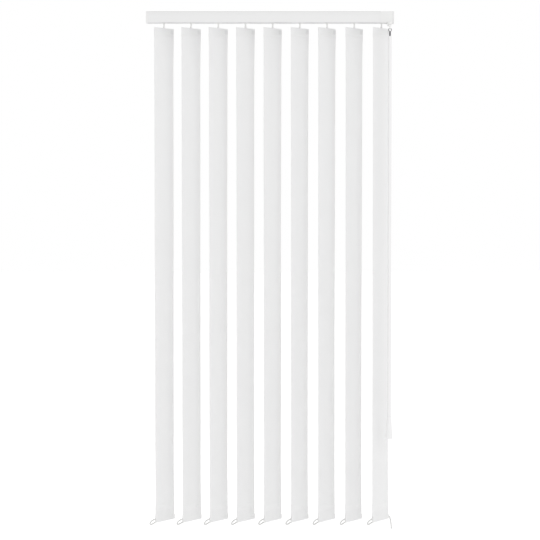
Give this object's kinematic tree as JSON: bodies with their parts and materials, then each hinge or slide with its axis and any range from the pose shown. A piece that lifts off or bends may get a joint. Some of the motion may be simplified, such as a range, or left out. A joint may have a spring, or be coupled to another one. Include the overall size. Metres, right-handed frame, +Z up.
{
  "type": "vertical blind",
  "caption": "Vertical fabric slats on carriers in a ceiling rail, drawn aside and turned by a hanging wand, each with a weight and a bead-chain loop at its foot.",
  "frame": {"origin": "middle of the rail's top, in the plane of the ceiling, midway between the two screw holes", "axes": "+X along the rail towards the wand's end, -Y towards the room, +Z up"},
  "size_m": [0.7289, 0.105, 1.5385],
  "materials": {
    "rail_enamel": "satin white stove enamel on extruded aluminium",
    "white_moulding": "white moulded plastic, fine matt",
    "bracket_steel": "zinc-plated sheet",
    "rod_aluminium": "drawn, bright",
    "slat_fabric": "plain woven polyester, stiffened, off-white",
    "weight_plastic": "white moulded plastic over a steel core",
    "bead_chain": "white moulded beads on a thread",
    "hook_steel": "bent steel wire, darkened",
    "wand_plastic": "pale translucent white, glossy"
  },
  "bodies": {
    "headrail": {"headrail": "rail_enamel", "end_cap_left": "white_moulding", "end_cap_right": "white_moulding", "bracket_left": "bracket_steel", "bracket_right": "bracket_steel", "carrier_1": "white_moulding"},
    "tilt_rod": {"tilt_rod": "rod_aluminium"},
    "worm_1": {"worm_1": "white_moulding"},
    "slat_1": {"stem_1": "white_moulding", "slat_1": "slat_fabric", "weight_1": "weight_plastic"},
    "carrier_2": {"carrier_2": "white_moulding"},
    "worm_2": {"worm_2": "white_moulding"},
    "slat_2": {"stem_2": "white_moulding", "slat_2": "slat_fabric", "weight_2": "weight_plastic"},
    "carrier_3": {"carrier_3": "white_moulding"},
    "worm_3": {"worm_3": "white_moulding"},
    "slat_3": {"stem_3": "white_moulding", "slat_3": "slat_fabric", "weight_3": "weight_plastic"},
    "carrier_4": {"carrier_4": "white_moulding"},
    "worm_4": {"worm_4": "white_moulding"},
    "slat_4": {"stem_4": "white_moulding", "slat_4": "slat_fabric", "weight_4": "weight_plastic"},
    "carrier_5": {"carrier_5": "white_moulding"},
    "worm_5": {"worm_5": "white_moulding"},
    "slat_5": {"stem_5": "white_moulding", "slat_5": "slat_fabric", "weight_5": "weight_plastic"},
    "carrier_6": {"carrier_6": "white_moulding"},
    "worm_6": {"worm_6": "white_moulding"},
    "slat_6": {"stem_6": "white_moulding", "slat_6": "slat_fabric", "weight_6": "weight_plastic"},
    "carrier_7": {"carrier_7": "white_moulding"},
    "worm_7": {"worm_7": "white_moulding"},
    "slat_7": {"stem_7": "white_moulding", "slat_7": "slat_fabric", "weight_7": "weight_plastic"},
    "carrier_8": {"carrier_8": "white_moulding"},
    "worm_8": {"worm_8": "white_moulding"},
    "slat_8": {"stem_8": "white_moulding", "slat_8": "slat_fabric", "weight_8": "weight_plastic"},
    "carrier_9": {"carrier_9": "white_moulding", "lead_case": "white_moulding"},
    "worm_9": {"worm_9": "white_moulding"},
    "slat_9": {"stem_9": "white_moulding", "slat_9": "slat_fabric", "weight_9": "weight_plastic", "chain_tail": "bead_chain"},
    "wand_stem": {"wand_stem": "white_moulding"},
    "wand": {"wand": "wand_plastic", "wand_hook": "hook_steel", "wand_grip": "white_moulding"}
  },
  "joints": [
    {"name": "rod_turn", "type": "hinge", "parent": "headrail", "child": "tilt_rod", "pos_m": [0, -0.01142, -0.016], "axis": [1, 0, 0], "range_deg": [-1755, 675]},
    {"name": "worm_1_turn", "type": "hinge", "parent": "headrail", "child": "worm_1", "pos_m": [-0.312, -0.01142, -0.016], "axis": [1, 0, 0], "range_deg": [-1755, 675]},
    {"name": "slat_1_turn", "type": "hinge", "parent": "headrail", "child": "slat_1", "pos_m": [-0.312, 0, -0.0475], "axis": [0, 0, 1], "range_deg": [-45, 117]},
    {"name": "carrier_2_slide", "type": "slide", "parent": "headrail", "child": "carrier_2", "axis": [1, 0, 0], "range_m": [-0.054, 0]},
    {"name": "worm_2_turn", "type": "hinge", "parent": "carrier_2", "child": "worm_2", "pos_m": [-0.232, -0.01142, -0.016], "axis": [1, 0, 0], "range_deg": [-1755, 675]},
    {"name": "slat_2_turn", "type": "hinge", "parent": "carrier_2", "child": "slat_2", "pos_m": [-0.232, 0, -0.0475], "axis": [0, 0, 1], "range_deg": [-45, 117]},
    {"name": "carrier_3_slide", "type": "slide", "parent": "headrail", "child": "carrier_3", "axis": [1, 0, 0], "range_m": [-0.108, 0]},
    {"name": "worm_3_turn", "type": "hinge", "parent": "carrier_3", "child": "worm_3", "pos_m": [-0.152, -0.01142, -0.016], "axis": [1, 0, 0], "range_deg": [-1755, 675]},
    {"name": "slat_3_turn", "type": "hinge", "parent": "carrier_3", "child": "slat_3", "pos_m": [-0.152, 0, -0.0475], "axis": [0, 0, 1], "range_deg": [-45, 117]},
    {"name": "carrier_4_slide", "type": "slide", "parent": "headrail", "child": "carrier_4", "axis": [1, 0, 0], "range_m": [-0.162, 0]},
    {"name": "worm_4_turn", "type": "hinge", "parent": "carrier_4", "child": "worm_4", "pos_m": [-0.072, -0.01142, -0.016], "axis": [1, 0, 0], "range_deg": [-1755, 675]},
    {"name": "slat_4_turn", "type": "hinge", "parent": "carrier_4", "child": "slat_4", "pos_m": [-0.072, 0, -0.0475], "axis": [0, 0, 1], "range_deg": [-45, 117]},
    {"name": "carrier_5_slide", "type": "slide", "parent": "headrail", "child": "carrier_5", "axis": [1, 0, 0], "range_m": [-0.216, 0]},
    {"name": "worm_5_turn", "type": "hinge", "parent": "carrier_5", "child": "worm_5", "pos_m": [0.008, -0.01142, -0.016], "axis": [1, 0, 0], "range_deg": [-1755, 675]},
    {"name": "slat_5_turn", "type": "hinge", "parent": "carrier_5", "child": "slat_5", "pos_m": [0.008, 0, -0.0475], "axis": [0, 0, 1], "range_deg": [-45, 117]},
    {"name": "carrier_6_slide", "type": "slide", "parent": "headrail", "child": "carrier_6", "axis": [1, 0, 0], "range_m": [-0.27, 0]},
    {"name": "worm_6_turn", "type": "hinge", "parent": "carrier_6", "child": "worm_6", "pos_m": [0.088, -0.01142, -0.016], "axis": [1, 0, 0], "range_deg": [-1755, 675]},
    {"name": "slat_6_turn", "type": "hinge", "parent": "carrier_6", "child": "slat_6", "pos_m": [0.088, 0, -0.0475], "axis": [0, 0, 1], "range_deg": [-45, 117]},
    {"name": "carrier_7_slide", "type": "slide", "parent": "headrail", "child": "carrier_7", "axis": [1, 0, 0], "range_m": [-0.324, 0]},
    {"name": "worm_7_turn", "type": "hinge", "parent": "carrier_7", "child": "worm_7", "pos_m": [0.168, -0.01142, -0.016], "axis": [1, 0, 0], "range_deg": [-1755, 675]},
    {"name": "slat_7_turn", "type": "hinge", "parent": "carrier_7", "child": "slat_7", "pos_m": [0.168, 0, -0.0475], "axis": [0, 0, 1], "range_deg": [-45, 117]},
    {"name": "carrier_8_slide", "type": "slide", "parent": "headrail", "child": "carrier_8", "axis": [1, 0, 0], "range_m": [-0.378, 0]},
    {"name": "worm_8_turn", "type": "hinge", "parent": "carrier_8", "child": "worm_8", "pos_m": [0.248, -0.01142, -0.016], "axis": [1, 0, 0], "range_deg": [-1755, 675]},
    {"name": "slat_8_turn", "type": "hinge", "parent": "carrier_8", "child": "slat_8", "pos_m": [0.248, 0, -0.0475], "axis": [0, 0, 1], "range_deg": [-45, 117]},
    {"name": "carrier_9_slide", "type": "slide", "parent": "headrail", "child": "carrier_9", "axis": [1, 0, 0], "range_m": [-0.432, 0]},
    {"name": "worm_9_turn", "type": "hinge", "parent": "carrier_9", "child": "worm_9", "pos_m": [0.328, -0.01142, -0.016], "axis": [1, 0, 0], "range_deg": [-1755, 675]},
    {"name": "slat_9_turn", "type": "hinge", "parent": "carrier_9", "child": "slat_9", "pos_m": [0.328, 0, -0.0475], "axis": [0, 0, 1], "range_deg": [-45, 117]},
    {"name": "wand_turn", "type": "hinge", "parent": "carrier_9", "child": "wand_stem", "pos_m": [0.35, -0.051, -0.045], "axis": [0, 0, 1], "range_deg": [-675, 1755]},
    {"name": "wand_swing", "type": "hinge", "parent": "wand_stem", "child": "wand", "pos_m": [0.35, -0.051, -0.054], "axis": [1, 0, 0], "range_deg": [-35, 0]}
  ],
  "couplings": [
    {"joint": "rod_turn", "follows": "slat_1_turn", "ratio": -15},
    {"joint": "worm_1_turn", "follows": "slat_1_turn", "ratio": -15},
    {"joint": "carrier_2_slide", "follows": "carrier_9_slide", "ratio": 0.125},
    {"joint": "worm_2_turn", "follows": "slat_1_turn", "ratio": -15},
    {"joint": "slat_2_turn", "follows": "slat_1_turn", "ratio": 1},
    {"joint": "carrier_3_slide", "follows": "carrier_9_slide", "ratio": 0.25},
    {"joint": "worm_3_turn", "follows": "slat_1_turn", "ratio": -15},
    {"joint": "slat_3_turn", "follows": "slat_1_turn", "ratio": 1},
    {"joint": "carrier_4_slide", "follows": "carrier_9_slide", "ratio": 0.375},
    {"joint": "worm_4_turn", "follows": "slat_1_turn", "ratio": -15},
    {"joint": "slat_4_turn", "follows": "slat_1_turn", "ratio": 1},
    {"joint": "carrier_5_slide", "follows": "carrier_9_slide", "ratio": 0.5},
    {"joint": "worm_5_turn", "follows": "slat_1_turn", "ratio": -15},
    {"joint": "slat_5_turn", "follows": "slat_1_turn", "ratio": 1},
    {"joint": "carrier_6_slide", "follows": "carrier_9_slide", "ratio": 0.625},
    {"joint": "worm_6_turn", "follows": "slat_1_turn", "ratio": -15},
    {"joint": "slat_6_turn", "follows": "slat_1_turn", "ratio": 1},
    {"joint": "carrier_7_slide", "follows": "carrier_9_slide", "ratio": 0.75},
    {"joint": "worm_7_turn", "follows": "slat_1_turn", "ratio": -15},
    {"joint": "slat_7_turn", "follows": "slat_1_turn", "ratio": 1},
    {"joint": "carrier_8_slide", "follows": "carrier_9_slide", "ratio": 0.875},
    {"joint": "worm_8_turn", "follows": "slat_1_turn", "ratio": -15},
    {"joint": "slat_8_turn", "follows": "slat_1_turn", "ratio": 1},
    {"joint": "worm_9_turn", "follows": "slat_1_turn", "ratio": -15},
    {"joint": "slat_9_turn", "follows": "slat_1_turn", "ratio": 1},
    {"joint": "wand_turn", "follows": "slat_1_turn", "ratio": 15}
  ]
}
